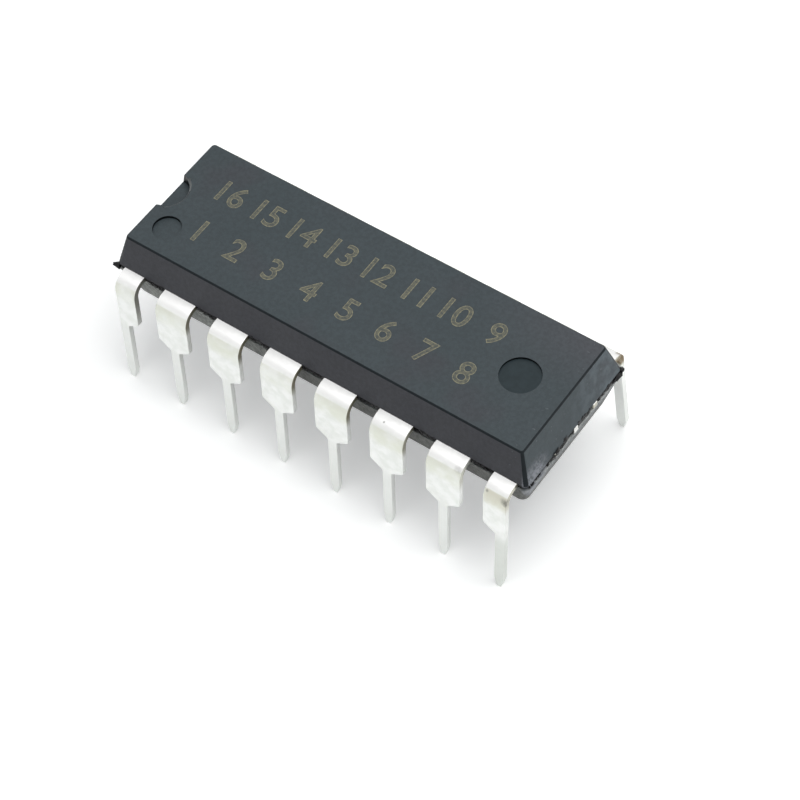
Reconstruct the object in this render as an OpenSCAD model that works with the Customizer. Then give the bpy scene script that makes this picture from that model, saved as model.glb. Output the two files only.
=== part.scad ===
/* [Leads] */
// Distance between neighbouring leads of a row
lead_pitch = 2.54; // [2.4:0.02:2.8]
// Distance between the two rows of leads, measured with the legs pressed upright
row_spacing = 7.62; // [7.5:0.02:8.2]
// Thickness of the sheet that the leads and the die pad are stamped from
sheet_thickness = 0.25; // [0.2:0.01:0.3]
// Width of a lead from the body down to its shoulder
shoulder_width = 1.52; // [1.2:0.02:1.7]
// Height over which a shoulder narrows to the leg, above the seating plane
shoulder_slope = 0.35; // [0.1:0.05:0.5]
// Radius that rounds the corners of a shoulder
shoulder_round = 0.12; // [0.04:0.02:0.16]
// Width of the leg that goes into its hole
leg_width = 0.42; // [0.38:0.01:0.56]
// Length of a leg below the seating plane
leg_length = 3.2; // [2.6:0.1:3.8]
// Height over which the leg narrows to its tip
tip_taper = 0.5; // [0.2:0.05:1]
// Width of the round end of a leg
tip_width = 0.2; // [0.12:0.02:0.3]
// Radius of the bend below the body, on its outside
bend_radius = 0.7; // [0.4:0.02:0.74]
// Angle by which the legs lean outwards
lead_splay = 5.3; // [0:0.1:8]

/* [Body] */
// Distance from the last lead's centre line to the end of the body
end_margin = 0.635; // [0.5:0.005:1]
// Width of the body at its widest
body_width = 6.32; // [6:0.02:6.44]
// Height of the upper half above the lead sheet
upper_height = 1.47; // [1.3:0.01:1.8]
// Depth of the lower half below the lead sheet
lower_height = 1.58; // [1.3:0.01:1.8]
// Gap between the underside of the body and the seating plane
standoff = 0.63; // [0.4:0.01:1]
// Angle by which the side walls lean in
draft_angle = 16; // [6:1:18]
// Radius of the upright corners at the top face
top_corner = 0.14; // [0.12:0.01:0.3]
// Radius of the upright corners where the body is widest
waist_corner = 0.25; // [0.15:0.01:0.4]
// Radius of the upright corners at the underside
underside_corner = 0.3; // [0.15:0.01:0.4]
// Radius of the edge round the top and round the underside
edge_radius = 0.1; // [0.03:0.01:0.12]
// Depth of the broken resin band between the two halves
band_recess = 0.05; // [0.02:0.01:0.1]
// How far the lower half stands out past the upper one
parting_ledge = 0.03; // [0.01:0.01:0.06]

/* [Marks in the body] */
// Radius of the half-round notch at the end with the first lead
notch_radius = 0.9; // [0.6:0.05:1.1]
// How far the notch reaches into the top face
notch_reach = 0.7; // [0.5:0.05:1]
// Depth of the notch below the top face
notch_depth = 0.55; // [0.3:0.05:0.8]
// Radius of the dimple beside the first lead
dimple_radius = 0.58; // [0.4:0.02:0.7]
// Distance of the dimple's centre from the end of the top face
dimple_from_end = 1.11; // [0.9:0.01:1.4]
// Distance of the dimple's centre from the long edge of the top face
dimple_from_side = 1.18; // [0.9:0.01:1.4]
// Depth of the dimple
dimple_depth = 0.12; // [0.04:0.01:0.2]
// Radius of the marks that the ejector pins leave
ejector_radius = 0.8; // [0.5:0.05:1]
// Distance of an ejector mark's centre from the end of the face
ejector_from_end = 1.92; // [1.4:0.02:2.6]
// Depth of the ejector marks
ejector_depth = 0.1; // [0.04:0.01:0.2]

/* [Lead frame inside the body] */
// Length of the pad that carries the die
pad_length = 3.2; // [2.8:0.1:3.8]
// Width of the pad that carries the die
pad_width = 2.3; // [2:0.1:2.6]
// How far the pad is pressed down below the leads
pad_downset = 0.2; // [0.1:0.02:0.3]
// Width of the tie bars that hold the frame at the ends of the body
tie_width = 0.24; // [0.2:0.02:0.36]
// Distance of the end leads' tie bars from the centre line of the body
tie_offset = 1.28; // [1.1:0.02:1.5]
// How far the cut tie bars stand out of the body
tie_stub = 0.03; // [0.01:0.01:0.06]
// Distance that a shoulder runs into the body
shoulder_root = 0.4; // [0.3:0.02:0.5]
// Width of a lead's finger behind the shoulder
finger_width = 0.5; // [0.4:0.02:0.6]
// Width of a finger at its tip
finger_tip_width = 0.28; // [0.2:0.02:0.34]
// Gap between the pad and the fingertips
finger_gap = 0.25; // [0.18:0.01:0.34]

/* [Die and bond wires] */
// Length of the silicon die
die_length = 2; // [1.6:0.1:2.6]
// Width of the silicon die
die_width = 1.5; // [1.3:0.1:1.9]
// Thickness of the silicon die
die_thickness = 0.3; // [0.2:0.02:0.4]
// Thickness of the adhesive under the die
attach_thickness = 0.03; // [0.02:0.01:0.06]
// Width of the adhesive that shows round the die
attach_margin = 0.06; // [0.02:0.02:0.12]
// Diameter of a bond wire
wire_diameter = 0.03; // [0.025:0.005:0.05]
// Diameter of the ball that bonds a wire to the die
ball_diameter = 0.08; // [0.06:0.01:0.1]
// Height of a wire's loop above the die
loop_height = 0.3; // [0.2:0.02:0.4]
// Distance from an edge of the die or a fingertip to the bond
bond_inset = 0.12; // [0.08:0.01:0.16]

/* [Hidden] */
leads_per_row = 8;
half_row = leads_per_row / 2;

// Heights above the tips of the legs
seating_z = leg_length;
underside_z = seating_z + standoff;
sheet_bottom = underside_z + lower_height;
sheet_top = sheet_bottom + sheet_thickness;
top_z = sheet_top + upper_height;

// Half sizes of the body where the two halves meet
body_length = (leads_per_row - 1) * lead_pitch + 2 * end_margin;
half_length = body_length / 2;
half_width = body_width / 2;
upper_inset = upper_height * tan(draft_angle);
lower_inset = lower_height * tan(draft_angle);

// Leads: distance from the centre plane to the outside of an upright leg
leg_outside = (row_spacing + sheet_thickness) / 2;
root_v = half_width - shoulder_root;
bend_steps = 14;
corner_steps = 4;

// Die pad and what stands on it
pad_bottom = sheet_bottom - pad_downset;
pad_top = sheet_top - pad_downset;
die_bottom = pad_top + attach_thickness;
die_top = die_bottom + die_thickness;
tie_end = half_length + tie_stub;
tie_slope_start = pad_length / 2 + finger_gap;
tie_slope_run = 2 * pad_downset;
tie_slope_end = tie_slope_start + tie_slope_run;

// Fingers, counted from the middle of a row outwards
tip_u = [0.45, 1.25];
tip_v = [1, 0.46];
finger_bend_v = [2.45, 2.45, 2.2];
finger_run = [0.35, 0.35, 1.05];

// Bond wires
wire_sides = 6;
wire_steps = 6;
ball_height = 0.02;
neck_height = 0.04;
loop_pull = 1.5;
climb_step = 0.01;
die_bond_u = [0.28, 0.7];
die_bond_v = [0.45, 0.15];

edge_steps = 4;
cut = 1;

function unit(v) = v / norm(v);

// Points of a closed outline whose corners are given as [x, y, radius]
function rounded(corners, steps) = [
    for (i = [0:len(corners) - 1])
        let (
            count = len(corners),
            before = corners[(i + count - 1) % count],
            after = corners[(i + 1) % count]
        )
        each corners[i][2] == 0 ? [flat(corners[i])] : fillet(corners[i], before, after, steps)
];

function flat(corner) = [corner[0], corner[1]];

function fillet(corner, before, after, steps) =
    let (
        u = unit(flat(before) - flat(corner)),
        v = unit(flat(after) - flat(corner)),
        half_angle = acos(u * v) / 2,
        centre = flat(corner) + unit(u + v) * corner[2] / sin(half_angle),
        from = flat(corner) + u * corner[2] / tan(half_angle) - centre,
        to = flat(corner) + v * corner[2] / tan(half_angle) - centre,
        start = atan2(from[1], from[0]),
        turn = atan2(from[0] * to[1] - from[1] * to[0], from * to)
    )
    [for (k = [0:steps]) centre + corner[2] * [cos(start + turn * k / steps), sin(start + turn * k / steps)]];

// Outline of a strip that follows points given as [x, y, width]
function strip(path) = concat(
    [for (i = [0:len(path) - 1]) strip_edge(path, i, 1)],
    [for (i = [len(path) - 1:-1:0]) strip_edge(path, i, -1)]
);

function strip_edge(path, i, side) =
    let (
        last = len(path) - 1,
        n_in = strip_normal(path, max(i - 1, 0)),
        n_out = strip_normal(path, min(i, last - 1)),
        mitre = (n_in + n_out) / (1 + n_in * n_out)
    )
    flat(path[i]) + side * path[i][2] / 2 * mitre;

function strip_normal(path, i) =
    let (along = unit(flat(path[i + 1]) - flat(path[i])))
    [-along[1], along[0]];

// Route of a finger in one quarter of the body: u runs along it, v across it
function finger_path(k) =
    let (
        u = (k + 0.5) * lead_pitch,
        tip_edge_v = pad_width / 2 + finger_gap,
        tip_edge_u = pad_length / 2 + finger_gap,
        root = [u, root_v + shoulder_root / 2, finger_width]
    )
    k < 2
    ? [root, [u, finger_bend_v[k], finger_width], [tip_u[k], tip_edge_v + finger_run[k], finger_tip_width],
        [tip_u[k], tip_edge_v, finger_tip_width]]
    : k == 2
    ? [root, [u, finger_bend_v[k], finger_width], [tip_edge_u + finger_run[k], tip_v[0], finger_tip_width],
        [tip_edge_u, tip_v[0], finger_tip_width]]
    : [[u, root_v + shoulder_root / 2, leg_width], [u, tie_offset, leg_width],
        [u - lead_pitch, tip_v[1], finger_tip_width], [tip_edge_u, tip_v[1], finger_tip_width]];

// Quarter position of a wire's two bonds: on the die and on the fingertip
function die_bond(k) = k < 2
    ? [die_bond_u[k], die_width / 2 - bond_inset]
    : [die_length / 2 - bond_inset, die_bond_v[k - 2]];

function finger_bond(k) = k < 2
    ? [tip_u[k], pad_width / 2 + finger_gap + bond_inset]
    : [pad_length / 2 + finger_gap + bond_inset, tip_v[k - 2]];

// Place along the row of the leads, from -3.5 to 3.5, and the side of the body
function row_place(number) = number <= leads_per_row
    ? number - (leads_per_row + 1) / 2
    : (3 * leads_per_row + 1) / 2 - number;
function row_side(number) = number <= leads_per_row ? -1 : 1;
function from_middle(number) = abs(row_place(number)) - 0.5;
function is_end_lead(number) = from_middle(number) == half_row - 1;

// Turns a quarter-plan position into the body's own plan
function to_plan(number, quarter) = [sign(row_place(number)) * quarter[0], row_side(number) * quarter[1]];

function bezier(a, b, c, d, t) =
    pow(1 - t, 3) * a + 3 * pow(1 - t, 2) * t * b + 3 * (1 - t) * t * t * c + pow(t, 3) * d;

module package_body() {
    color("#454b50") difference() {
        union() {
            translate([0, 0, sheet_top]) mould_half(upper_height, top_corner, 0);
            translate([0, 0, sheet_bottom]) resin_band();
            translate([0, 0, sheet_bottom]) mirror([0, 0, 1])
                mould_half(lower_height, underside_corner, parting_ledge);
        }
        notch();
        dimple();
        ejector_marks();
        for (number = [1:2 * leads_per_row]) {
            lead(number);
            bond_wire(number);
        }
        die_pad();
        die_attach();
        silicon_die();
    }
}

// One half of the body: walls with draft, upright corners and a rounded outer edge
module mould_half(height, end_corner, grow) {
    inset = height * tan(draft_angle);
    hull() {
        at_corners(grow - waist_corner)
            cylinder(h = edge_radius, r1 = waist_corner, r2 = 0, $fn = 32);
        at_corners(grow - inset - end_corner)
            rounded_end(height, end_corner);
    }
}

module at_corners(offset_out) {
    for (sx = [-1, 1], sy = [-1, 1])
        translate([sx * (half_length + offset_out), sy * (half_width + offset_out), 0])
            children();
}

// Rounded edge at one corner, as rings that turn from the wall's draft to the flat face
module rounded_end(height, end_corner) {
    centre_z = height - edge_radius;
    wall_z = centre_z + edge_radius * sin(draft_angle);
    centre_r = end_corner + (height - wall_z) * tan(draft_angle) - edge_radius * cos(draft_angle);
    step = (90 - draft_angle) / edge_steps;
    for (k = [0:edge_steps - 1]) {
        low = draft_angle + k * step;
        high = low + step;
        translate([0, 0, centre_z + edge_radius * sin(low)])
            cylinder(
                h = edge_radius * (sin(high) - sin(low)),
                r1 = centre_r + edge_radius * cos(low),
                r2 = centre_r + edge_radius * cos(high),
                $fn = 32
            );
    }
}

// Resin between the leads, as thick as their sheet and broken back a little
module resin_band() {
    linear_extrude(sheet_thickness)
        polygon(rounded([
            for (corner = [[1, 1], [-1, 1], [-1, -1], [1, -1]])
                [corner[0] * (half_length - band_recess), corner[1] * (half_width - band_recess), waist_corner]
        ], corner_steps));
}

module notch() {
    edge_x = -half_length + upper_inset;
    translate([edge_x + notch_reach - notch_radius, 0, top_z - notch_depth])
        cylinder(h = notch_depth + cut, r = notch_radius, $fn = 64);
}

module dimple() {
    translate([
        -half_length + upper_inset + dimple_from_end,
        -half_width + upper_inset + dimple_from_side,
        top_z - dimple_depth
    ])
        cylinder(h = dimple_depth + cut, r = dimple_radius, $fn = 64);
}

module ejector_marks() {
    top_x = half_length - upper_inset - ejector_from_end;
    bottom_x = half_length - lower_inset - ejector_from_end;
    translate([top_x, 0, top_z - ejector_depth])
        cylinder(h = ejector_depth + cut, r = ejector_radius, $fn = 64);
    for (side = [-1, 1])
        translate([side * bottom_x, 0, underside_z - cut])
            cylinder(h = ejector_depth + cut, r = ejector_radius, $fn = 64);
}

// One stamped and bent lead; the leads are numbered round the body from the notch
module lead(number) {
    place = row_place(number);
    color("#cfcfca") {
        translate([place * lead_pitch, 0, 0])
            mirror([0, row_side(number) < 0 ? 1 : 0, 0])
                mirror([place < 0 ? 1 : 0, 0, 0])
                    bent_leg(is_end_lead(number));
        finger(number);
    }
}

// Outer part, as on the right of the far row: the bent sheet, cut to its front outline
module bent_leg(end_lead) {
    intersection() {
        translate([-shoulder_width, 0, 0])
            rotate([90, 0, 90])
                linear_extrude(2 * shoulder_width)
                    polygon(bent_section());
        translate([0, row_spacing, 0])
            rotate([90, 0, 0])
                linear_extrude(row_spacing)
                    polygon(front_outline(end_lead ? leg_width / 2 : shoulder_width / 2));
    }
}

// Section of the bent sheet: out of the body, round the bend and down the leaning leg
function bent_section() =
    let (
        out = [cos(lead_splay), sin(lead_splay)],
        down = [sin(lead_splay), -cos(lead_splay)],
        mitre = ([0, 1] + out) / (1 + out[1]),
        bend_centre = [leg_outside - bend_radius, sheet_top - bend_radius],
        outer = bend_centre + bend_radius * mitre,
        inner = bend_centre + (bend_radius - sheet_thickness) * mitre,
        leg = (sheet_top + cut) / cos(lead_splay)
    )
    rounded([
        [root_v, sheet_bottom, 0],
        [root_v, sheet_top, 0],
        concat(outer, bend_radius),
        concat(outer + leg * down, 0),
        concat(inner + leg * down, 0),
        concat(inner, bend_radius - sheet_thickness)
    ], bend_steps);

// Outline of a lead seen from the side of the body: shoulder, slope, leg and tip.
// An end lead has no shoulder on its outer side, where outer_half is half the leg.
function front_outline(outer_half) =
    let (
        slope_top = seating_z + shoulder_slope,
        inner_half = shoulder_width / 2,
        leg = leg_width / 2,
        tip = tip_width / 2,
        outer_round = outer_half > leg ? shoulder_round : 0
    )
    rounded([
        [-inner_half, sheet_top + cut, 0],
        [-inner_half, slope_top, shoulder_round],
        [-leg, seating_z, shoulder_round],
        [-leg, tip_taper, 0],
        [-tip, 0, tip],
        [tip, 0, tip],
        [leg, tip_taper, 0],
        [leg, seating_z, outer_round],
        [outer_half, slope_top, outer_round],
        [outer_half, sheet_top + cut, 0]
    ], corner_steps);

// Flat part inside the body, from the root of the shoulder to the fingertip
module finger(number) {
    path = [for (point = finger_path(from_middle(number))) concat(to_plan(number, point), point[2])];
    translate([0, 0, sheet_bottom])
        linear_extrude(sheet_thickness) {
            polygon(strip(path));
            if (is_end_lead(number))
                polygon(strip([
                    concat(to_plan(number, [tie_end - end_margin, tie_offset]), tie_width),
                    concat(to_plan(number, [tie_end, tie_offset]), tie_width)
                ]));
        }
}

// Pressed-down pad and its two tie bars, whose cut ends show in the ends of the body
module die_pad() {
    color("#b9b4a6") intersection() {
        linear_extrude(top_z) {
            square([pad_length, pad_width], center = true);
            square([2 * tie_end, tie_width], center = true);
        }
        translate([0, pad_width / 2, 0])
            rotate([90, 0, 0])
                linear_extrude(pad_width)
                    polygon(concat(
                        pressed_line(sheet_top, pad_top),
                        [for (point = pressed_line(sheet_bottom, pad_bottom)) [-point[0], point[1]]]
                    ));
    }
}

function pressed_line(raised_z, low_z) = [
    [-tie_end, raised_z],
    [-tie_slope_end, raised_z],
    [-tie_slope_start, low_z],
    [tie_slope_start, low_z],
    [tie_slope_end, raised_z],
    [tie_end, raised_z]
];

module die_attach() {
    attach_length = die_length + 2 * attach_margin;
    attach_width = die_width + 2 * attach_margin;
    color("#9a9c9e") translate([-attach_length / 2, -attach_width / 2, pad_top])
        cube([attach_length, attach_width, attach_thickness]);
}

module silicon_die() {
    color("#566072") translate([-die_length / 2, -die_width / 2, die_bottom])
        cube([die_length, die_width, die_thickness]);
}

// Bond wire: a ball on the die, a loop and a flat stitch on the fingertip
module bond_wire(number) {
    k = from_middle(number);
    from = to_plan(number, die_bond(k));
    to = to_plan(number, finger_bond(k));
    along = unit(to - from);
    span = norm(to - from);
    rings = concat(
        [[0, die_top, 90, ball_diameter / 2, 1], [0, die_top + ball_height, 90, ball_diameter / 2, 1]],
        [for (i = [0:wire_steps - 1]) loop_ring(i / wire_steps, span)],
        [[span, sheet_top, -90, wire_diameter / 2, 2]]
    );
    points = [
        for (ring = rings, side = [0:wire_sides - 1])
            let (
                angle = 360 * side / wire_sides,
                across = ring[3] * cos(angle),
                raised = ring[3] * ring[4] * sin(angle),
                forward = ring[0] - raised * sin(ring[2]),
                x_y = from + along * forward + across * [-along[1], along[0]]
            )
            [x_y[0], x_y[1], ring[1] + raised * cos(ring[2])]
    ];
    last = len(rings) - 1;
    faces = concat(
        [[for (side = [0:wire_sides - 1]) side]],
        [for (i = [0:last - 1], side = [0:wire_sides - 1])
            let (next = (side + 1) % wire_sides)
            each [
                [i * wire_sides + side, (i + 1) * wire_sides + side, (i + 1) * wire_sides + next],
                [i * wire_sides + side, (i + 1) * wire_sides + next, i * wire_sides + next]
            ]],
        [[for (side = [wire_sides - 1:-1:0]) last * wire_sides + side]]
    );
    color("#d9a93a") polyhedron(points, faces);
}

// One ring of a wire's loop: distance along, height, climb angle, radius and stretch
function loop_ring(t, span) =
    let (
        neck = die_top + neck_height,
        a = [0, neck],
        b = [0, neck + loop_height],
        c = [span / 2, neck + loop_pull * loop_height],
        d = [span, sheet_top],
        p = bezier(a, b, c, d, t),
        ahead = bezier(a, b, c, d, t + climb_step) - p
    )
    [p[0], p[1], atan2(ahead[1], ahead[0]), wire_diameter / 2, 1];

package_body();
lead(1);  // lead_1
lead(2);  // lead_2
lead(3);  // lead_3
lead(4);  // lead_4
lead(5);  // lead_5
lead(6);  // lead_6
lead(7);  // lead_7
lead(8);  // lead_8
lead(9);  // lead_9
lead(10);  // lead_10
lead(11);  // lead_11
lead(12);  // lead_12
lead(13);  // lead_13
lead(14);  // lead_14
lead(15);  // lead_15
lead(16);  // lead_16
die_pad();
die_attach();
silicon_die();
bond_wire(1);  // bond_wire_1
bond_wire(2);  // bond_wire_2
bond_wire(3);  // bond_wire_3
bond_wire(4);  // bond_wire_4
bond_wire(5);  // bond_wire_5
bond_wire(6);  // bond_wire_6
bond_wire(7);  // bond_wire_7
bond_wire(8);  // bond_wire_8
bond_wire(9);  // bond_wire_9
bond_wire(10);  // bond_wire_10
bond_wire(11);  // bond_wire_11
bond_wire(12);  // bond_wire_12
bond_wire(13);  // bond_wire_13
bond_wire(14);  // bond_wire_14
bond_wire(15);  // bond_wire_15
bond_wire(16);  // bond_wire_16
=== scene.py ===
import math
import random

import bmesh
import bpy
from mathutils import Matrix, Vector, noise


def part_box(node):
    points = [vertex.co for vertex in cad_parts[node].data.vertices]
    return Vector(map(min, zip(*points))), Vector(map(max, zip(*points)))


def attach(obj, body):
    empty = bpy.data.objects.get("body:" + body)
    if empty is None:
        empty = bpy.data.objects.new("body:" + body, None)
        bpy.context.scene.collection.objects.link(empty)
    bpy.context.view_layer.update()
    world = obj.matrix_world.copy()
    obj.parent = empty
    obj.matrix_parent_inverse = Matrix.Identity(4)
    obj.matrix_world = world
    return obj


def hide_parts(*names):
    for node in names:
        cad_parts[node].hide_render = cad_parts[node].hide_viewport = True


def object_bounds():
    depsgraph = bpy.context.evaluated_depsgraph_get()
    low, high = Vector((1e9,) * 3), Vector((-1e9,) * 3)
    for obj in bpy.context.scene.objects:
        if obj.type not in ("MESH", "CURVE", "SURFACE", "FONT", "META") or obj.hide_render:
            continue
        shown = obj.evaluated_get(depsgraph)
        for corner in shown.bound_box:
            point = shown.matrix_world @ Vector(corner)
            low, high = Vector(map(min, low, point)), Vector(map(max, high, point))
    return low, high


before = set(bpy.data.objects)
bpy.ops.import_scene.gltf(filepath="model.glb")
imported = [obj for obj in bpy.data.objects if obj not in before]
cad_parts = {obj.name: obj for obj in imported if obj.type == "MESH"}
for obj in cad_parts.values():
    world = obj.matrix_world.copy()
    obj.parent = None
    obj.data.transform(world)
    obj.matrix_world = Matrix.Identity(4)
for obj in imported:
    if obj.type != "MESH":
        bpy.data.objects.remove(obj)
cad_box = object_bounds()
scene = bpy.context.scene
MM = 0.001


# Camera
# The photograph was taken from above the near right corner, close to the part,
# with the camera rolled a little.
camera_turn = math.radians(41.56)
camera_height = math.radians(55.16)
camera_roll = math.radians(-7.27)
camera_distance = 92.1 * MM
camera_slide = Vector((0.98, -0.05, 0)) * MM
sensor_width = 36
focal_length_in_pixels = 2322.6
photo_width_in_pixels = 800
focal_length = focal_length_in_pixels / photo_width_in_pixels * sensor_width
nearest_seen = MM
farthest_seen = 10


def add_camera():
    back = Vector((
        math.sin(camera_turn) * math.cos(camera_height),
        -math.cos(camera_turn) * math.cos(camera_height),
        math.sin(camera_height),
    ))
    level = Vector((math.cos(camera_turn), math.sin(camera_turn), 0))
    axes = Matrix((level, back.cross(level), back)).transposed()
    axes = axes @ Matrix.Rotation(camera_roll, 3, "Z")
    data = bpy.data.cameras.new("camera")
    data.sensor_width = sensor_width
    data.lens = focal_length
    data.clip_start = nearest_seen
    data.clip_end = farthest_seen
    camera = bpy.data.objects.new("camera", data)
    scene.collection.objects.link(camera)
    place = back * camera_distance + axes @ camera_slide
    camera.matrix_world = Matrix.Translation(place) @ axes.to_4x4()
    return camera


scene.camera = add_camera()
scene.view_settings.view_transform = "Standard"


# Studio
# A white sheet in a white tent, lit by a large soft lamp overhead and a weaker one past each end.
# The sheet looks white to the camera also far from the part, where the lamps don't reach.
tent_light = 0.25
sheet_side = 4
sheet_glow = 0.32
far_glow = 0.8
glow_rises_from = 60 * MM
glow_rises_to = 250 * MM


def srgb(red, green, blue):
    """A colour read as 0 to 255, as the linear values that a socket takes"""
    return (*(((c / 255 + 0.055) / 1.055) ** 2.4 for c in (red, green, blue)), 1)


def put(tree, kind, inputs=(), **settings):
    """A shader node with its settings, its constants and its links"""
    made = tree.nodes.new("ShaderNode" + kind)
    for name, value in settings.items():
        setattr(made, name, value)
    for socket, value in dict(inputs).items():
        if isinstance(value, bpy.types.NodeSocket):
            tree.links.new(value, made.inputs[socket])
        else:
            made.inputs[socket].default_value = value
    return made


def maths(tree, operation, *values):
    return put(tree, "Math", enumerate(values), operation=operation).outputs[0]


def seen_directly(tree):
    """1 for rays from the camera, off a gloss or through glass, and 0 for the light that falls on things"""
    path = put(tree, "LightPath").outputs
    straight = maths(tree, "MAXIMUM", path["Is Camera Ray"], path["Is Glossy Ray"])
    return maths(tree, "MAXIMUM", straight, path["Is Transmission Ray"])


def add_tent():
    world = bpy.data.worlds.new("white_tent")
    world.use_nodes = True
    tree = world.node_tree
    tree.nodes.clear()
    light = put(tree, "Background", {"Color": srgb(248, 251, 255), "Strength": tent_light})
    white = put(tree, "Background", {"Color": (1, 1, 1, 1), "Strength": 1})
    blend = put(tree, "MixShader", {0: seen_directly(tree), 1: light.outputs[0], 2: white.outputs[0]})
    put(tree, "OutputWorld", {"Surface": blend.outputs[0]})
    scene.world = world


def add_lamp(name, place, side, power):
    data = bpy.data.lights.new(name, "AREA")
    data.shape = "SQUARE"
    data.size = side * MM
    data.energy = power
    lamp = bpy.data.objects.new(name, data)
    scene.collection.objects.link(lamp)
    place = Vector(place) * MM
    lamp.matrix_world = Matrix.Translation(place) @ (-place).to_track_quat("-Z", "Y").to_matrix().to_4x4()


def add_sheet():
    material = bpy.data.materials.new("white_sheet")
    material.use_nodes = True
    tree = material.node_tree
    tree.nodes.clear()
    paper = put(tree, "BsdfDiffuse", {"Color": srgb(250, 251, 250)})
    place = put(tree, "TexCoord").outputs["Object"]
    away = put(tree, "VectorMath", {0: place}, operation="LENGTH").outputs["Value"]
    strength = put(tree, "MapRange", {
        "Value": away, "From Min": glow_rises_from, "From Max": glow_rises_to,
        "To Min": sheet_glow, "To Max": far_glow,
    }, interpolation_type="SMOOTHSTEP").outputs[0]
    glow = put(tree, "Emission", {"Color": (1, 1, 1, 1), "Strength": strength})
    glowing = put(tree, "AddShader", {0: paper.outputs[0], 1: glow.outputs[0]})
    blend = put(tree, "MixShader", {0: seen_directly(tree), 1: paper.outputs[0], 2: glowing.outputs[0]})
    put(tree, "OutputMaterial", {"Surface": blend.outputs[0]})
    mesh = bpy.data.meshes.new("white_sheet")
    bm = bmesh.new()
    bmesh.ops.create_grid(bm, x_segments=1, y_segments=1, size=sheet_side / 2)
    bmesh.ops.translate(bm, verts=bm.verts, vec=(0, 0, cad_box[0][2]))
    bm.to_mesh(mesh)
    bm.free()
    mesh.materials.append(material)
    sheet = bpy.data.objects.new("white_sheet", mesh)
    scene.collection.objects.link(sheet)


add_tent()
add_lamp("overhead", place=(26, 8, 150), side=100, power=0.14)
add_lamp("right_end", place=(140, 60, 60), side=100, power=0.04)
add_lamp("left_end", place=(-140, 0, 60), side=100, power=0.03)
add_sheet()


# Moulded body
# Black epoxy, filled with silica and pressed hot round the lead frame in a two-part steel mould.
# Its faces come out matt from an eroded mould, its edges and pin marks smoother and the pin floors darker.
# The edges and the walls of the notch and pin marks are painted darker still as painted shade, and the near
# side of the notch's rim lighter as a painted highlight.
sheet_thickness = 0.25 * MM
body_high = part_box("package_body")[1]
sheet_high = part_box("lead_5")[1].z
sheet_low = sheet_high - sheet_thickness
smooth_angle = math.radians(32)
rim_angle = 2 * smooth_angle
flat_angle = math.radians(0.05)
weld_distance = 1e-4 * MM
seam_fade_mm = 0.02
notch_inside = -8.2 * MM
notch_reach = 0.93 * MM
notch_floor = body_high.z - 0.5 * MM
notch_rounding = 0.15 * MM
notch_mouth = -9 * MM
level_tolerance = 0.01 * MM
matt, smooth_edge_painted_shade, pin_floor, pin_wall_painted_shade, notch_rim_painted_highlight = range(5)


def new_material(name, constants):
    material = bpy.data.materials.new(name)
    material.use_nodes = True
    shader = material.node_tree.nodes["Principled BSDF"]
    for socket, value in constants.items():
        shader.inputs[socket].default_value = value
    return material, material.node_tree, shader


def place_in_mm(tree, moved=(0, 0, 0)):
    place = put(tree, "TexCoord").outputs["Object"]
    return put(tree, "Mapping", {"Vector": place, "Scale": [1 / MM] * 3, "Location": moved}).outputs[0]


def speckle(tree, place, per_mm, detail=2, roughness=0.5):
    return put(tree, "TexNoise", {
        "Vector": place, "Scale": per_mm, "Detail": detail, "Roughness": roughness,
    }).outputs["Fac"]


def ramp(tree, value, low, high, at_low=0, at_high=1):
    return put(tree, "MapRange", {
        "Value": value, "From Min": low, "From Max": high, "To Min": at_low, "To Max": at_high,
    }, interpolation_type="SMOOTHSTEP").outputs[0]


def mix(tree, factor, first, second):
    """The first colour where the factor is 0, the second where it is 1"""
    return put(tree, "Mix", {0: factor, 6: first, 7: second}, data_type="RGBA").outputs[2]


def bump(tree, height, depth_mm, below=None):
    inputs = {"Height": height, "Distance": depth_mm * MM, "Strength": 1}
    if below:
        inputs["Normal"] = below
    return put(tree, "Bump", inputs).outputs[0]


def xyz(tree, vector):
    return put(tree, "SeparateXYZ", {0: vector}).outputs


def both(tree, first, second):
    return maths(tree, "MULTIPLY", first, second)


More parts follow.
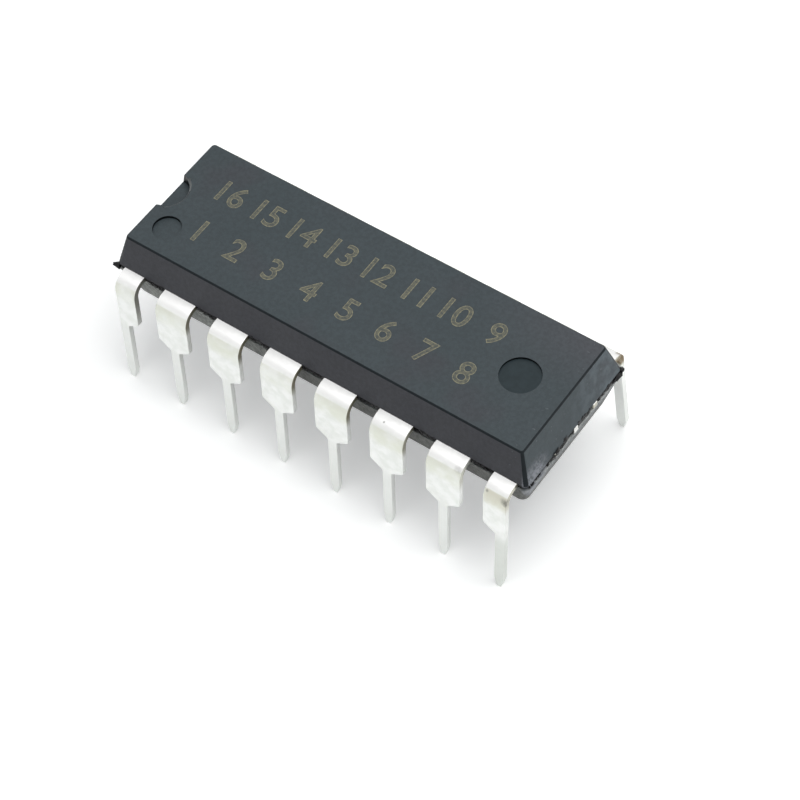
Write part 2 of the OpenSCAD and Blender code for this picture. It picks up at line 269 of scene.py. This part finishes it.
def matt_epoxy():
    material, tree, shader = new_material("matt_epoxy", {"Specular IOR Level": 0.4})
    place = place_in_mm(tree)
    x, y, z = xyz(tree, place)
    normal = xyz(tree, put(tree, "NewGeometry").outputs["Normal"])
    sheet_low_mm = sheet_low / MM
    sheet_high_mm = sheet_high / MM

    # The upper half: slow clouds of tone with a warmer cast in patches, the long sides painted a little
    # darker and warmer as painted shade, and the far right corner painted lighter as painted light
    clouds = speckle(tree, place, 0.45, 4)
    colour = mix(tree, ramp(tree, clouds, 0.35, 0.65), srgb(48, 58, 62), srgb(54, 63, 67))
    warm = ramp(tree, speckle(tree, place_in_mm(tree, (7, 3, 1)), 0.35), 0.5, 0.75, 0, 0.5)
    long_side_painted_shade = ramp(tree, maths(tree, "ABSOLUTE", normal["Y"]), 0.6, 0.9, 0, 0.8)
    colour = mix(tree, maths(tree, "MAXIMUM", warm, long_side_painted_shade), colour, srgb(53, 52, 58))
    far_corner_painted_light = both(tree, ramp(tree, x, 3, 9), ramp(tree, y, 0, 3, 0, 0.8))
    colour = mix(tree, far_corner_painted_light, colour, srgb(68, 70, 75))
    mottled = ramp(tree, speckle(tree, place, 6, 3, 0.7), 0.35, 0.65, -0.12, 0.12)
    lighter = maths(tree, "ADD", mottled, 1)
    colour = put(tree, "VectorMath", {0: colour, "Scale": lighter}, operation="SCALE").outputs[0]

    # Scuffs: a few light specks, thickest on the right end. The right end face is painted lighter as
    # painted light, in patches most towards its far corner
    specks = ramp(tree, speckle(tree, place, 5, 2, 0.6), 0.66, 0.74)
    towards_end = ramp(tree, x, 8.2, 9.3, 0.04, 0.5)
    colour = mix(tree, both(tree, specks, towards_end), colour, srgb(120, 126, 130))
    light_patches = ramp(tree, speckle(tree, place, 1.7, 4, 0.65), 0.35, 0.65, 0.1, 0.8)
    far_end_painted_light = both(tree, ramp(tree, y, -1, 3, 0.1, 1), ramp(tree, normal["X"], 0.6, 0.9))
    # The right end face is painted lighter as painted light
    colour = mix(tree, ramp(tree, normal["X"], 0.6, 0.9, 0, 0.35), colour, srgb(66, 74, 78))
    colour = mix(tree, both(tree, light_patches, far_end_painted_light), colour, srgb(98, 109, 115))

    # The lower half: painted lighter, as dust and as a painted reflection of the white sheet below, more so
    # at both ends of the body, streaked across and gritty
    upright = put(tree, "Mapping", {"Vector": place, "Scale": (1, 1, 0.15)}).outputs[0]
    streaks = speckle(tree, upright, 4, 3, 0.7)
    grit = ramp(tree, speckle(tree, upright, 12, 2, 0.7), 0.4, 0.6)
    left_part = ramp(tree, x, -1, -5)
    darkest = mix(tree, left_part, srgb(54, 55, 52), srgb(80, 82, 79))
    lightest = mix(tree, left_part, srgb(114, 115, 111), srgb(168, 171, 167))
    tone = maths(tree, "MULTIPLY", maths(tree, "ADD", ramp(tree, streaks, 0.3, 0.7), grit), 0.5)
    dust_and_floor_reflection = mix(tree, tone, darkest, lightest)
    end_dust_and_floor_reflection = mix(tree, tone, srgb(50, 53, 56), srgb(132, 136, 138))
    under_seam = ramp(tree, z, sheet_low_mm - 0.8, sheet_low_mm - 0.1, 0, 0.4)
    end_dust_and_floor_reflection = mix(tree, both(tree, under_seam, grit), end_dust_and_floor_reflection, srgb(190, 195, 192))
    dust_and_floor_reflection = mix(tree, ramp(tree, x, 9.2, 9.4), dust_and_floor_reflection, end_dust_and_floor_reflection)
    below_seam = ramp(tree, z, sheet_low_mm, sheet_low_mm - seam_fade_mm)
    lower_half = both(tree, below_seam, ramp(tree, normal["Z"], -0.9, -0.6))
    colour = mix(tree, lower_half, colour, dust_and_floor_reflection)

    # The broken resin between the halves is darkest, its own dark colour deepened by painted shade in the
    # recess, and the ledge below it gets a painted highlight, broken up and strongest towards the ends
    above_lower_half = ramp(tree, z, sheet_low_mm, sheet_low_mm + seam_fade_mm)
    seam_resin_and_shade = both(tree, above_lower_half, ramp(tree, z, sheet_high_mm + seam_fade_mm, sheet_high_mm))
    colour = mix(tree, seam_resin_and_shade, colour, srgb(16, 17, 18))
    facing_up = ramp(tree, normal["Z"], 0.8, 0.95)
    ledge_painted_highlight = both(tree, facing_up, ramp(tree, z, sheet_low_mm + 0.1, sheet_low_mm + 0.05))
    broken = ramp(tree, speckle(tree, place, 4, 3, 0.7), 0.3, 0.55, 0.4, 1)
    highlight_towards_ends = maths(tree, "MAXIMUM", ramp(tree, x, -1, -5, 0.35, 1), ramp(tree, x, 9.3, 9.5, 0, 0.8))
    colour = mix(tree, both(tree, ledge_painted_highlight, both(tree, broken, highlight_towards_ends)), colour, srgb(210, 213, 210))

    # Dust has gathered over the seam at the near corner of the right end
    dusty_corner = both(tree, ramp(tree, y, -1.5, -2.3), ramp(tree, x, 9.2, 9.4))
    dusty_corner = both(tree, dusty_corner, ramp(tree, z, sheet_high_mm + 0.9, sheet_high_mm + 0.1))
    patchy = ramp(tree, speckle(tree, place, 6, 4, 0.75), 0.38, 0.6, 0.25, 1)
    colour = mix(tree, both(tree, dusty_corner, patchy), colour, srgb(138, 141, 148))
    tree.links.new(colour, shader.inputs["Base Color"])
    tree.links.new(ramp(tree, clouds, 0.3, 0.7, 0.56, 0.64), shader.inputs["Roughness"])
    tree.links.new(bump(tree, speckle(tree, place, 14, 3, 0.7), 0.006), shader.inputs["Normal"])
    return material


def smooth_epoxy(name, tone, gloss):
    material, tree, shader = new_material(name, {"Specular IOR Level": gloss, "Roughness": 0.4})
    place = place_in_mm(tree)
    shade = ramp(tree, speckle(tree, place, 3, 3), 0.3, 0.7)
    darker = [0.8 * channel for channel in srgb(*tone)[:3]] + [1]
    tree.links.new(mix(tree, shade, darker, srgb(*tone)), shader.inputs["Base Color"])
    tree.links.new(bump(tree, speckle(tree, place, 10, 2), 0.002), shader.inputs["Normal"])
    return material


def joined_copy(node):
    """A CAD node's own shape as one joined mesh, with its flat faces whole"""
    bm = bmesh.new()
    bm.from_mesh(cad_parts[node].data)
    bmesh.ops.remove_doubles(bm, verts=bm.verts, dist=weld_distance)
    bmesh.ops.dissolve_limit(bm, angle_limit=flat_angle, verts=bm.verts, edges=bm.edges)
    return bm


def finish_piece(bm, name, materials, replaced=None):
    """The piece as an object, shaded smooth but for its sharp edges, on the part's one body"""
    for face in bm.faces:
        face.smooth = True
    for edge in bm.edges:
        edge.smooth = edge.is_manifold and edge.calc_face_angle() < smooth_angle
    mesh = bpy.data.meshes.new(name)
    bm.to_mesh(mesh)
    bm.free()
    for material in materials:
        mesh.materials.append(material)
    piece = bpy.data.objects.new(name, mesh)
    scene.collection.objects.link(piece)
    flat = piece.modifiers.new("flat_faces_stay_flat", "WEIGHTED_NORMAL")
    flat.keep_sharp = True
    flat.weight = 100
    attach(piece, "root")
    if replaced:
        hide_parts(replaced)
    return piece


def at_notch(point):
    return point.x < notch_inside and abs(point.y) < notch_reach and point.z > notch_floor


def body_finish(face):
    """Which of the body's finishes a face has, by where it lies and how far it faces up"""
    centre = face.calc_center_median()
    up = face.normal.z
    below_top = (body_high.z - centre.z) / MM
    if centre.z < sheet_high:
        return matt
    # The notch's rim faces: the near side a painted highlight, the rest painted shade
    if at_notch(centre) and 0.1 < up < 0.97:
        return notch_rim_painted_highlight if face.normal.y < -0.2 else smooth_edge_painted_shade
    if up > 0.99:
        return pin_floor if 0.05 < below_top < 0.15 and centre.x > 0 else matt
    # Upright walls of the notch and pin marks are painted dark as painted shade
    if up < 0.1:
        return pin_wall_painted_shade
    # Sloping edge bands and corners are smooth, and painted dark as painted shade
    corner = abs(face.normal.x * face.normal.y) > 0.3
    return smooth_edge_painted_shade if 0.35 < up < 0.95 or corner else matt


def on_top_inside_mouth(vert):
    return body_high.z - vert.co.z < level_tolerance and vert.co.x > notch_mouth


def round_notch(bm):
    """The mouth of the notch with a soft rim in place of a sharp one"""
    rim = []
    for edge in bm.edges:
        middle = (edge.verts[0].co + edge.verts[1].co) / 2
        level = all(on_top_inside_mouth(vert) for vert in edge.verts)
        if level and at_notch(middle) and edge.is_manifold and edge.calc_face_angle() > rim_angle:
            rim.append(edge)
    bmesh.ops.bevel(
        bm, geom=rim, affect="EDGES", offset=notch_rounding, segments=4,
        profile=0.5, clamp_overlap=False, material=-1,
    )


def add_body():
    bm = joined_copy("package_body")
    round_notch(bm)
    for face in bm.faces:
        face.material_index = body_finish(face)
    materials = [
        matt_epoxy(),
        # Smooth edges, dark as painted shade
        smooth_epoxy("smooth_epoxy", (24, 31, 35), 0.15),
        smooth_epoxy("ejector_mark", (42, 53, 57), 0.2),
        # Walls of the notch and pin marks, dark as painted shade
        smooth_epoxy("mark_wall_painted_shade", (13, 17, 20), 0.1),
        # The notch's near rim, light as a painted highlight
        smooth_epoxy("notch_rim_painted_highlight", (98, 102, 103), 0.2),
    ]
    finish_piece(bm, "moulded_body", materials, "package_body")


add_body()


# Mould flash
# Resin that was squeezed out between the mould's halves and has broken off, leaving ragged chips and films.
# Places and sizes are in mm here.
end_chips = (
    (-2.95, -1.75, 9, 0.05),
    (-1.50, -0.35, 16, 0.11),
    (-0.35, -0.14, 4, 0.07),
    (0.24, 1.08, 14, 0.11),
    (1.46, 2.45, 14, 0.10),
)
corner_flash = (
    ((9.50, 3.10, 5.54), (0.13, 0.12, 0.14)),
    ((9.54, 2.82, 5.50), (0.09, 0.26, 0.14)),
    ((9.52, 2.60, 5.46), (0.07, 0.20, 0.08)),
    ((9.52, -1.20, 5.55), (0.06, 0.16, 0.20)),
    ((9.52, -1.36, 5.52), (0.06, 0.16, 0.20)),
    ((9.53, -1.26, 5.56), (0.06, 0.14, 0.14)),
)
gap_chips = 11
seam_at_end = 9.49
seam_at_side = 3.13
lead_pitch = 2.54
chip_depth_at_end = 0.045
chip_depth_at_side = 0.06
left_spur = ((-9.40, -3.10, 5.50), (-9.70, -3.18, 5.52), 0.17)


def add_chip(bm, chance, place, half_size):
    """One ragged bit of resin, turned at random about the line from end to end"""
    chip = bmesh.ops.create_icosphere(bm, subdivisions=2, radius=1)["verts"]
    drift = Vector((chance.random(), chance.random(), chance.random())) * 50
    turn = Matrix.Rotation(chance.uniform(-0.5, 0.5), 3, "X")
    for vert in chip:
        lumps = noise.noise(vert.co * 1.4 + drift)
        crumbs = noise.noise(vert.co * 4 + drift)
        vert.co *= 1 + 0.6 * lumps + 0.3 * crumbs
        size = Vector(a * b for a, b in zip(vert.co, half_size))
        vert.co = (Vector(place) + turn @ size) * MM


def add_spur(bm, chance, start, tip, width):
    """One tapered spur of resin from its root to its tip"""
    start, tip = Vector(start), Vector(tip)
    cone = bmesh.ops.create_cone(
        bm, segments=8, radius1=width, radius2=width * 0.3, depth=(tip - start).length,
        cap_ends=True, cap_tris=True,
    )["verts"]
    turn = (tip - start).to_track_quat("Z", "Y").to_matrix()
    for vert in cone:
        vert.co = ((start + tip) / 2 + turn @ vert.co * chance.uniform(0.85, 1.15)) * MM


def add_flash():
    bm = bmesh.new()
    chance = random.Random(5)
    for place, half_size in corner_flash:
        add_chip(bm, chance, place, half_size)
    add_spur(bm, chance, *left_spur)
    for side in (1, -1):
        for start, end, count, size in end_chips:
            for _ in range(count):
                along = chance.uniform(start, end)
                place = (side * seam_at_end, side * along, sheet_low / MM + chance.uniform(0.05, 0.25))
                width = size * chance.uniform(0.6, 2)
                add_chip(bm, chance, place, (chip_depth_at_end, width, size * chance.uniform(0.6, 1.3)))
    for side in (1, -1):
        for gap in range(-3, 4):
            for _ in range(gap_chips):
                along = gap * lead_pitch + chance.uniform(-0.5, 0.5)
                place = (along, side * seam_at_side, sheet_high / MM - chance.uniform(0.03, 0.2))
                width = chance.uniform(0.06, 0.14)
                add_chip(bm, chance, place, (width, chip_depth_at_side, chance.uniform(0.06, 0.1)))
    finish_piece(bm, "mould_flash", [smooth_epoxy("broken_epoxy", (18, 18, 20), 0.2)])


add_flash()


# Leads
# Stamped from copper-alloy sheet, bent down beside the body and plated with matt tin.
lead_count = 16
edge_rounding = 0.04 * MM
edge_segments = 3
smudges = (
    ((9.06, -3.86, 5.25), 0.24, 0.7),
    ((8.92, -3.84, 5.33), 0.16, 0.4),
    ((9.12, -3.88, 5.12), 0.16, 0.4),
    ((8.25, -3.80, 5.35), 0.12, 0.6),
    ((7.02, -3.72, 5.46), 0.20, 0.25),
    ((6.86, -3.72, 5.48), 0.20, 0.25),
    ((3.52, -3.54, 5.58), 0.09, 0.7),
)


def near(tree, place, spot, reach):
    """1 at a spot, given in mm, fading to 0 at its reach with a ragged edge"""
    away = put(tree, "VectorMath", {0: place, 1: spot}, operation="DISTANCE").outputs["Value"]
    ragged = maths(tree, "ADD", away, both(tree, speckle(tree, place, 6, 3), reach))
    return ramp(tree, ragged, reach * 1.3, reach * 0.6)


def tin_material():
    material, tree, shader = new_material("tin_plate", {})
    place = place_in_mm(tree)
    x, y, height = xyz(tree, place)
    normal = xyz(tree, put(tree, "NewGeometry").outputs["Normal"])
    clouds = ramp(tree, speckle(tree, place, 2, 3, 0.55), 0.35, 0.65)
    colour = mix(tree, clouds, srgb(229, 231, 227), srgb(240, 241, 239))

    # The legs are greyer than their shoulders, and the last of the near row is greyest
    colour = mix(tree, ramp(tree, height, 3.5, 2.9, 0, 0.8), colour, srgb(226, 228, 225))
    last_leg = both(tree, ramp(tree, x, 8.1, 8.3), ramp(tree, y, 3, -3))
    last_leg = both(tree, last_leg, ramp(tree, height, 3.2, 2.6))
    colour = mix(tree, last_leg, colour, srgb(214, 217, 212))

    # The bends, where they face up, are painted brightest as a painted highlight
    colour = mix(tree, ramp(tree, normal["Z"], 0.68, 0.82), colour, srgb(235, 235, 234))

    # Just below the bend the plating is painted greyer as painted shade, most on the last lead
    uneven = maths(tree, "ADD", height, both(tree, speckle(tree, place, 3, 3), 0.5))
    below_bend_painted_shade = both(tree, ramp(tree, uneven, 4.7, 5.3), ramp(tree, normal["Z"], 0.70, 0.62))
    below_bend_painted_shade = both(tree, below_bend_painted_shade, ramp(tree, speckle(tree, place, 1.1, 3), 0.35, 0.6, 0.3, 1))
    colour = mix(tree, below_bend_painted_shade, colour, srgb(222, 224, 213))
    last_lead_painted_shade = both(tree, ramp(tree, x, 8.1, 8.3), ramp(tree, uneven, 4.9, 5.4, 0, 0.9))
    last_lead_painted_shade = both(tree, last_lead_painted_shade, ramp(tree, normal["Z"], 0.70, 0.62))
    colour = mix(tree, last_lead_painted_shade, colour, srgb(210, 208, 194))

    # The cut sides are bare metal, dull brown in the bend, and painted darker as painted shade, most near
    # the body and towards the left end
    sideways = ramp(tree, maths(tree, "ABSOLUTE", normal["X"]), 0.6, 0.85)
    left_end = ramp(tree, x, -5, -7)
    further_down = both(tree, left_end, ramp(tree, height, 2.4, 3.8))
    cut_side_bare_and_shaded = maths(tree, "MAXIMUM", ramp(tree, height, 4.4, 5.1), further_down)
    cut_side_bare_and_shaded = both(tree, both(tree, cut_side_bare_and_shaded, sideways), ramp(tree, x, 3, 7.5, 0.9, 0.3))
    bare_and_shade_at_left = mix(tree, ramp(tree, height, 3.4, 4.9), srgb(204, 205, 201), srgb(118, 116, 108))
    bare_metal_and_shade = mix(tree, left_end, srgb(112, 106, 84), bare_and_shade_at_left)
    colour = mix(tree, cut_side_bare_and_shaded, colour, bare_metal_and_shade)

    # The last lead of the far row is golden brown in patches at its outer edge
    golden_brown_edge = both(tree, ramp(tree, y, 3, 3.2), ramp(tree, x, 8.85, 8.95))
    golden_brown_edge = both(tree, golden_brown_edge, ramp(tree, height, 4.7, 5))
    golden_brown_edge = both(tree, golden_brown_edge, ramp(tree, height, 5.6, 5.45))
    patchy = ramp(tree, speckle(tree, place, 3, 3, 0.7), 0.3, 0.6, 0.6, 1)
    colour = mix(tree, both(tree, golden_brown_edge, patchy), colour, srgb(104, 82, 34))

    # Scratches and smudges on the last leads of the near row
    for spot, reach, strength in smudges:
        colour = mix(tree, both(tree, near(tree, place, spot, reach), strength), colour, srgb(92, 92, 86))
    tree.links.new(colour, shader.inputs["Base Color"])
    grain = ramp(tree, speckle(tree, place, 5, 3), 0.3, 0.7, 0.36, 0.46)
    rough = maths(tree, "ADD", grain, ramp(tree, normal["Z"], 0.8, 1, 0, 0.3))
    tree.links.new(rough, shader.inputs["Roughness"])
    tree.links.new(ramp(tree, normal["Z"], 0.85, 1, 0.88, 0.7), shader.inputs["Metallic"])
    stretched = put(tree, "Mapping", {"Vector": place, "Scale": (1, 1, 0.35)}).outputs[0]
    waves = bump(tree, speckle(tree, stretched, 1.5), 0.006)
    tree.links.new(bump(tree, speckle(tree, place, 14, 3), 0.003, waves), shader.inputs["Normal"])
    return material


def add_leads():
    tin = tin_material()
    for number in range(1, lead_count + 1):
        bm = joined_copy(f"lead_{number}")
        rims = [edge for edge in bm.edges if edge.is_manifold and edge.calc_face_angle() > rim_angle]
        bmesh.ops.bevel(
            bm, geom=rims, affect="EDGES", offset=edge_rounding, segments=edge_segments,
            profile=0.5, clamp_overlap=True, material=-1,
        )
        finish_piece(bm, f"tinned_lead_{number}", [tin], f"lead_{number}")


add_leads()


# Die and its pad
# Silicon, glued to a stamped pad whose two tie bars come out through the ends, and wired with gold.
wire_count = 16


def finish_node(name, material):
    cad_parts[name].material_slots[0].material = material


def grained(name, constants, dark, light, per_mm, depth_mm):
    """A finish with one scale of grain in its tone and its relief"""
    material, tree, shader = new_material(name, constants)
    grain = speckle(tree, place_in_mm(tree), per_mm, 3, 0.6)
    tree.links.new(mix(tree, ramp(tree, grain, 0.35, 0.65), dark, light), shader.inputs["Base Color"])
    tree.links.new(bump(tree, grain, depth_mm), shader.inputs["Normal"])
    return material


bright_cut = grained(
    "bright_cut_metal", {"Metallic": 0.6, "Roughness": 0.45},
    srgb(226, 226, 220), srgb(248, 248, 245), per_mm=9, depth_mm=0.004,
)
adhesive = grained(
    "silver_adhesive", {"Metallic": 0.4, "Roughness": 0.6},
    srgb(150, 152, 154), srgb(186, 188, 190), per_mm=12, depth_mm=0.004,
)
silicon = grained(
    "polished_silicon", {"Metallic": 0.5, "Roughness": 0.2},
    srgb(78, 86, 104), srgb(92, 100, 120), per_mm=3, depth_mm=0.0005,
)
gold = grained(
    "gold_wire", {"Metallic": 1, "Roughness": 0.25},
    srgb(228, 178, 78), srgb(246, 204, 110), per_mm=20, depth_mm=0.0005,
)
finish_node("die_pad", bright_cut)
finish_node("die_attach", adhesive)
finish_node("silicon_die", silicon)
for number in range(1, wire_count + 1):
    finish_node(f"bond_wire_{number}", gold)


# Lead numbers
# Written by laser on the top face, which bleaches the resin to a khaki grey.
mark_rows = ((range(16, 8, -1), 1.05), (range(1, 9), -1.0))
mark_middle = -0.7 * MM
mark_pitch = 1.75 * MM
mark_height = 1 * MM
mark_film = 0.003 * MM
mark_line = 0.02 * MM
line_flatness = 0.25
font_digit_height = 0.7
font_curve_steps = 6
no_area = 1e-12
sliver_rounds = 3


def mark_material(name, burnt, worn_through):
    material, tree, shader = new_material(name, {"Specular IOR Level": 0.3, "Roughness": 0.7})
    place = place_in_mm(tree)
    worn = ramp(tree, speckle(tree, place, 9, 4, 0.7), 0.4, 0.62)
    tree.links.new(mix(tree, worn, srgb(*burnt), srgb(*worn_through)), shader.inputs["Base Color"])
    tree.links.new(bump(tree, speckle(tree, place, 14, 3), 0.006), shader.inputs["Normal"])
    return material


def letter_mesh(number, **settings):
    curve = bpy.data.curves.new("number", "FONT")
    curve.body = str(number)
    curve.resolution_u = font_curve_steps
    for name, value in settings.items():
        setattr(curve, name, value)
    written = bpy.data.objects.new("number", curve)
    scene.collection.objects.link(written)
    bpy.context.view_layer.update()
    mesh = bpy.data.meshes.new_from_object(written)
    bpy.data.objects.remove(written)
    return mesh


def add_number(bm, number, middle):
    """One number, centred on its place: its strokes as a thin closed film with a fine line round them"""
    to_font = font_digit_height / mark_height
    film = letter_mesh(number, extrude=mark_film * to_font)
    line = letter_mesh(number, fill_mode="NONE", bevel_depth=mark_line * to_font, bevel_resolution=0)
    low, high = (Vector(pick(v.co[a] for v in film.vertices) for a in range(3)) for pick in (min, max))
    scale = mark_height / (high.y - low.y)
    place = Matrix.Translation(middle) @ Matrix.Scale(scale, 4) @ Matrix.Translation(-(low + high) / 2)
    film.transform(place)
    line.transform(place @ Matrix.Scale(line_flatness, 4, (0, 0, 1)))
    for face in film.polygons:
        face.material_index = 1
    bm.from_mesh(film)
    bm.from_mesh(line)


def turn_slivers(bm):
    """Turns the longest edge of each face without area, as the font leaves where points lie in line"""
    for _ in range(sliver_rounds):
        for face in [face for face in bm.faces if face.calc_area() < no_area]:
            if face.is_valid:
                longest = max(face.edges, key=lambda edge: edge.calc_length())
                bmesh.ops.rotate_edges(bm, edges=[longest], use_ccw=True)
        bm.normal_update()


def add_marks():
    bm = bmesh.new()
    for numbers, across in mark_rows:
        for column, number in enumerate(numbers):
            along = mark_middle + (column - (len(numbers) - 1) / 2) * mark_pitch
            add_number(bm, number, Vector((along, across * MM, body_high.z)))
    bmesh.ops.remove_doubles(bm, verts=bm.verts, dist=weld_distance)
    bmesh.ops.recalc_face_normals(bm, faces=bm.faces)
    turn_slivers(bm)
    materials = [
        mark_material("laser_mark_outline", (150, 145, 119), (112, 110, 95)),
        mark_material("laser_mark_middle", (108, 108, 94), (80, 84, 81)),
    ]
    finish_piece(bm, "lead_numbers", materials)


add_marks()
